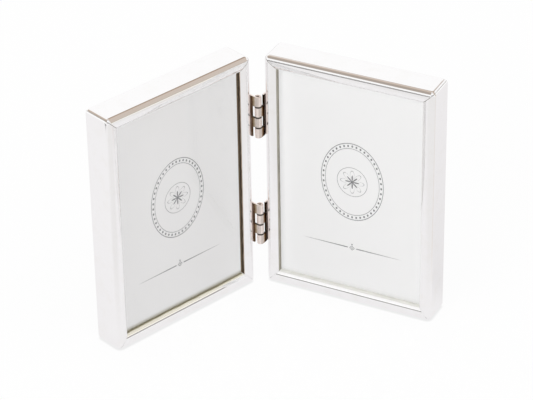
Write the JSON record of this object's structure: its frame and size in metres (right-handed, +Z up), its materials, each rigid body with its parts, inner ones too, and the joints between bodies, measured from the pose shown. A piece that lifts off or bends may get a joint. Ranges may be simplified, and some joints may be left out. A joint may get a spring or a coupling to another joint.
{
  "type": "hinged double photo frame",
  "caption": "Two small upright mitred metal picture frames joined side by side by butt hinges, glazed, with velvet-covered backs held by turn buttons.",
  "frame": {"origin": "middle of the footprint of both leaves at rest, on the surface they stand on", "axes": "+Z up, the hinge axis is vertical; the pictures face -Y, towards the viewer; +X to the viewer's right, along the longest side of the open frame"},
  "size_m": [0.13, 0.0478, 0.098],
  "materials": {
    "silver_plate": "polished silver plate on rolled sheet",
    "hinge_nickel": "bright nickel plate, slightly warm",
    "pin_steel": "drawn steel",
    "clear_glass": "clear float glass, ground edges",
    "print_paper": "satin coated paper with a printed ornamental rule",
    "grey_card": "grey filler card",
    "hardboard": "pressed hardboard",
    "black_velvet": "short-pile velvet",
    "button_steel": "nickel-plated spring steel",
    "rivet_brass": "domed brass rivet"
  },
  "bodies": {
    "left_leaf": {"left_top_rail": "silver_plate", "left_bottom_rail": "silver_plate", "left_hinge_rail": "silver_plate", "left_outer_rail": "silver_plate", "left_glass": "clear_glass", "left_picture_sheet": "print_paper", "left_filler_card": "grey_card", "left_bottom_rivet": "rivet_brass", "left_top_rivet": "rivet_brass", "left_backing_board": "hardboard", "left_velvet_cover": "black_velvet", "upper_hinge_left_plate": "hinge_nickel", "upper_hinge_pin": "pin_steel", "lower_hinge_left_plate": "hinge_nickel", "lower_hinge_pin": "pin_steel"},
    "right_leaf": {"right_top_rail": "silver_plate", "right_bottom_rail": "silver_plate", "right_hinge_rail": "silver_plate", "right_outer_rail": "silver_plate", "right_glass": "clear_glass", "right_picture_sheet": "print_paper", "right_filler_card": "grey_card", "right_bottom_rivet": "rivet_brass", "right_top_rivet": "rivet_brass", "right_backing_board": "hardboard", "right_velvet_cover": "black_velvet", "upper_hinge_right_plate": "hinge_nickel", "lower_hinge_right_plate": "hinge_nickel"},
    "left_bottom_button": {"left_bottom_button": "button_steel"},
    "left_top_button": {"left_top_button": "button_steel"},
    "right_bottom_button": {"right_bottom_button": "button_steel"},
    "right_top_button": {"right_top_button": "button_steel"}
  },
  "joints": [
    {"name": "leaf_hinge", "type": "hinge", "parent": "left_leaf", "child": "right_leaf", "pos_m": [0, 0.01334, 0.049], "axis": [0, 0, 1], "range_deg": [-113.62, 77.34]},
    {"name": "left_bottom_button_turn", "type": "hinge", "parent": "left_leaf", "child": "left_bottom_button", "pos_m": [-0.03651, 0.00378, 0.0098], "axis": [-0.5664, 0.8241, 0], "continuous": true},
    {"name": "left_top_button_turn", "type": "hinge", "parent": "left_leaf", "child": "left_top_button", "pos_m": [-0.03651, 0.00378, 0.0882], "axis": [-0.5664, 0.8241, 0], "continuous": true},
    {"name": "right_bottom_button_turn", "type": "hinge", "parent": "right_leaf", "child": "right_bottom_button", "pos_m": [0.03651, 0.00378, 0.0098], "axis": [0.5664, 0.8241, 0], "continuous": true},
    {"name": "right_top_button_turn", "type": "hinge", "parent": "right_leaf", "child": "right_top_button", "pos_m": [0.03651, 0.00378, 0.0882], "axis": [0.5664, 0.8241, 0], "continuous": true}
  ]
}
